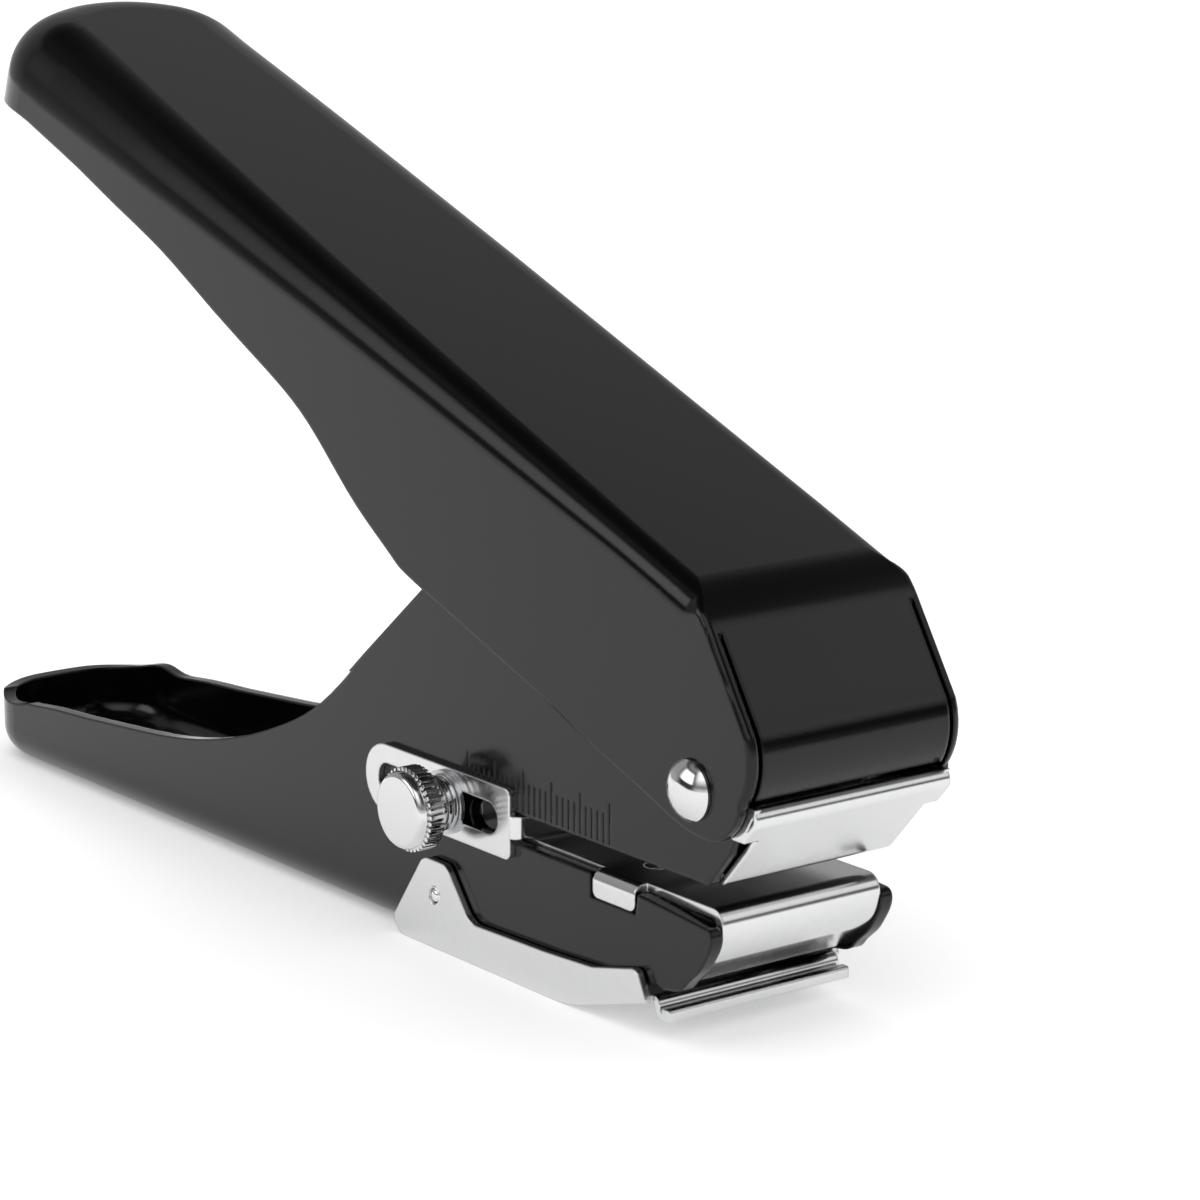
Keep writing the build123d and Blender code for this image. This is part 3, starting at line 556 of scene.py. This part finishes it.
# ---------------------------------------------------------------- operators
class PUNCH_OT_painted_steel(bpy.types.Operator):
    """Paint the lever and the base black"""

    bl_idname = "punch.painted_steel"
    bl_label = "Painted Steel"

    def execute(self, context):
        dress(black_paint("lever_paint", crease=True), "lever_shell")
        dress(black_paint("base_paint"), "base_frame")
        return {"FINISHED"}


class PUNCH_OT_plated_steel(bpy.types.Operator):
    """Plate the jaw, the guide and the chip tray"""

    bl_idname = "punch.plated_steel"
    bl_label = "Plated Steel"

    def execute(self, context):
        dress(chrome_plate("chrome_plate"), "die_plate", "depth_guide", "chip_tray")
        # The lining's plate carries painted shade inside the jaw.
        dress(chrome_plate("jaw_chrome_painted_shade", painted_shade=True), "jaw_lining")
        dress(turned_chrome(), "pivot_rivet")
        return {"FINISHED"}


class PUNCH_OT_knob(bpy.types.Operator):
    """Turn the thumb screw's head, with its straight knurl and its ringed neck"""

    bl_idname = "punch.knob"
    bl_label = "Knurled Knob"

    def execute(self, context):
        sizes = context.scene.punch_knob
        teeth, out = sizes.teeth, sizes.radius / MM
        profile = [*KNOB_NECK, *((y, out - within) for y, within in KNOB_HEAD), KNOB_MIDDLE]
        sides = TOOTH_STEPS * teeth
        knob = turned("knurled_knob", SCREW, profile, sides)
        root = (out - sizes.knurl_depth / MM) / out

        def in_groove(place):
            if not KNURL_ENDS[0] < place.y / MM < KNURL_ENDS[1]:
                return False
            turn = math.atan2(place.z - SCREW.z, place.x - SCREW.x) / (2 * math.pi)
            return round(turn * sides) % TOOTH_STEPS in GROOVE_STEPS

        pick(knob, in_groove)
        bpy.ops.transform.resize(
            value=(root, 1, root), center_override=(SCREW.x, KNURL_MIDDLE, SCREW.z)
        )
        edit_mode(False)
        settle(knob, 24.0)
        knob.data.materials.append(turned_chrome())
        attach(knob, "thumb_screw")
        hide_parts("clamp_knob")
        return {"FINISHED"}


class PUNCH_OT_hinge_beads(bpy.types.Operator):
    """Press the two dimples that the chip tray hinges on"""

    bl_idname = "punch.hinge_beads"
    bl_label = "Hinge Beads"

    def execute(self, context):
        finish = bead_chrome_groove_shade()
        for name, side in (("hinge_bead_near", -1), ("hinge_bead_far", 1)):
            rings = [(side * y, radius) for y, radius in BEAD_RINGS]
            bead = turned(name, TRAY_HINGE, rings, BEAD_SIDES)
            settle(bead, 60.0)
            bead.data.materials.append(finish)
            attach(bead, "tray")
        return {"FINISHED"}


class PUNCH_OT_works(bpy.types.Operator):
    """Finish the steel pieces inside the jaw"""

    bl_idname = "punch.works"
    bl_label = "Works"

    def execute(self, context):
        dress(ground_steel(), "punch_blade", "punch_carrier", "punch_guide", "die_insert")
        dress(
            zinc_steel(),
            "drive_bracket",
            "drive_pin",
            "pivot_spacer",
            "pivot_washers",
            "clamp_washer",
            "clamp_stud",
            "clamp_nut",
        )
        return {"FINISHED"}


class PUNCH_OT_springs(bpy.types.Operator):
    """Fit the return springs in drawn spring wire; they move whole with the punch"""

    bl_idname = "punch.springs"
    bl_label = "Springs"

    def execute(self, context):
        low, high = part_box("return_springs")
        slide = next(joint for joint in frame["joints"] if joint["name"] == "punch_slide")
        keep = 1 - slide["range_m"][1] / (high.z - low.z)
        node = frame["nodes"]["return_springs"]
        bpy.ops.object.select_all(action="DESELECT")
        node.select_set(True)
        context.view_layer.objects.active = node
        bpy.ops.object.duplicate()
        coils = context.object
        coils.name = "return_coils"
        for mark in [key for key in coils.keys() if key.startswith("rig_")]:
            del coils[mark]
        finish = spring_wire()
        for slot in coils.material_slots:
            slot.link = "OBJECT"
            slot.material = finish
        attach(coils, "punch")
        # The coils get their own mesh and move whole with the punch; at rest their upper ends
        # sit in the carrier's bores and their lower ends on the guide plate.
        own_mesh(coils)
        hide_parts("return_springs")
        return {"FINISHED"}


class PUNCH_OT_studio(bpy.types.Operator):
    """Build the floor, the surroundings, the lamp and the camera"""

    bl_idname = "punch.studio"
    bl_label = "Studio"

    def execute(self, context):
        settings = context.scene.punch_studio
        for name in ("Cube", "Light", "Camera"):
            spare = bpy.data.objects.get(name)
            if spare:
                bpy.data.objects.remove(spare)
        bpy.ops.object.select_all(action="DESELECT")
        bpy.ops.mesh.primitive_circle_add(
            vertices=96, radius=settings.floor_reach, fill_type="NGON", location=(0, 0, 0)
        )
        floor = context.object
        floor.name = "studio_floor"
        paper = bpy.data.materials.new("floor_paper")
        bench = Bench(paper)
        mottle = bench.grain(6.0, 2.0)
        bench.surface(
            Base_Color=bench.blend(mottle, tint(0.95, 0.95, 0.95), tint(0.96, 0.96, 0.96)),
            Roughness=0.9,
            Specular_IOR_Level=0.0,
            Emission_Color=tint(1, 1, 1),
            Emission_Strength=0.23,
        )
        floor.data.materials.append(paper)

        world = bpy.data.worlds.new("studio_walls")
        context.scene.world = world
        bench = Bench(world)
        path = bench.add("ShaderNodeLightPath")
        toward = bench.add("ShaderNodeTexCoord")["Generated"]
        parts = bench.add("ShaderNodeSeparateXYZ", None, {"Vector": toward})
        side, depth, height = parts["X"], parts["Y"], parts["Z"]
        # Walls: grey behind, dim to the right, dark to the left, all dark overhead.
        rear = (0.64 * depth - 0.77 * side).fade(-0.10, 0.35)
        front = (-0.35 * depth + 0.94 * side).fade(0.35, 0.75)
        left = 1 - rear.most(front)
        behind = 0.46 - 0.08 * height.fade(0.10, 0.30) - 0.30 * height.fade(0.66, 0.76)
        behind = behind - 0.06 * height.fade(0.78, 0.90)
        right = (
            0.04
            + 0.46 * (1 - height.fade(0.06, 0.20))
            + 0.24 * (side - 1.2 * depth).fade(-0.20, 0.35) * (1 - height.fade(0.30, 0.50))
        )
        near = (
            0.04
            + 0.24 * height.fade(0.74, 0.81) * (1 - height.fade(0.86, 0.92))
            + 0.35 * (1 - height.fade(0.0, 0.04))
        )
        room = (behind * rear + right * front + near * left).most(0.01)
        # A strip at the left, a wide soft box over the camera and a card at the right.
        around = bench.add(
            "ShaderNodeMath", {"operation": "ARCTAN2"}, {0: depth, 1: side}
        )["Value"] * (180 / math.pi)
        strip = (
            around.fade(-142.0, -118.0)
            * (1 - around.fade(-92.0, -78.0))
            * height.fade(0.22, 0.32)
            * (1 - height.fade(0.62, 0.76))
        )
        softbox = (
            around.fade(-84.0, -60.0)
            * (1 - around.fade(-34.0, 4.0))
            * height.fade(0.22, 0.62)
            * (1 - height.fade(0.80, 0.90))
        )
        card = bench.add(
            "ShaderNodeVectorMath",
            {"operation": "DOT_PRODUCT"},
            {0: toward, 1: CARD_TOWARD[:]},
        )["Value"].fade(0.955, 0.985)
        seen = room + 2.5 * strip + 1.4 * softbox + 0.9 * card
        mirror = path["Is Glossy Ray"].most(path["Is Transmission Ray"])
        plain = path["Is Camera Ray"] + settings.wall_strength * (1 - path["Is Camera Ray"])
        strength = seen * mirror + plain * (1 - mirror)
        shader = bench.add(
            "ShaderNodeBackground", None, {"Color": tint(1, 1, 1), "Strength": strength}
        )
        bench.finish(shader["Background"])

        lamp = bpy.data.lights.new("soft_lamp", "AREA")
        lamp.shape = "RECTANGLE"
        lamp.size, lamp.size_y = 1.2, 0.9
        lamp.energy = settings.lamp_power
        holder = bpy.data.objects.new("soft_lamp", lamp)
        holder.location = LAMP_PLACE
        holder.rotation_euler = LAMP_PLACE.to_track_quat("Z", "Y").to_euler()
        holder.visible_glossy = False
        context.collection.objects.link(holder)

        lens = bpy.data.cameras.new("product_view")
        lens.sensor_width, lens.lens = 36.0, 120.0
        lens.sensor_fit = "HORIZONTAL"
        lens.clip_start, lens.clip_end = 0.01, 20.0
        eye = bpy.data.objects.new("product_view", lens)
        facing = Matrix((EYE_RIGHT, EYE_UP, EYE_BACK)).transposed().to_4x4()
        eye.matrix_world = Matrix.Translation(EYE_PLACE) @ facing
        context.collection.objects.link(eye)
        context.scene.camera = eye
        context.scene.view_settings.view_transform = "Standard"
        return {"FINISHED"}


class PUNCH_PT_panel(bpy.types.Panel):
    """Lists the punch's pieces and settings"""

    bl_idname = "PUNCH_PT_panel"
    bl_label = "Slot Punch"
    bl_space_type = "VIEW_3D"
    bl_region_type = "UI"
    bl_category = "Slot Punch"

    def draw(self, context):
        layout = self.layout
        for group in (getattr(context.scene, name) for name in GROUPS):
            box = layout.box()
            for name in group.__annotations__:
                box.prop(group, name)
        for operator in OPERATORS:
            layout.operator(operator.bl_idname)


GROUPS = {"punch_finish": PunchFinish, "punch_knob": PunchKnob, "punch_studio": PunchStudio}
OPERATORS = (
    PUNCH_OT_studio,
    PUNCH_OT_painted_steel,
    PUNCH_OT_plated_steel,
    PUNCH_OT_knob,
    PUNCH_OT_hinge_beads,
    PUNCH_OT_works,
    PUNCH_OT_springs,
)


def register():
    for made in (*GROUPS.values(), *OPERATORS, PUNCH_PT_panel):
        bpy.utils.register_class(made)
    for name, group in GROUPS.items():
        setattr(bpy.types.Scene, name, bpy.props.PointerProperty(type=group))


def unregister():
    for name in GROUPS:
        delattr(bpy.types.Scene, name)
    for made in (PUNCH_PT_panel, *reversed(OPERATORS), *GROUPS.values()):
        bpy.utils.unregister_class(made)


def main():
    register()
    for operator in OPERATORS:
        group, name = operator.bl_idname.split(".")
        getattr(getattr(bpy.ops, group), name)()


if __name__ == "__main__":
    main()
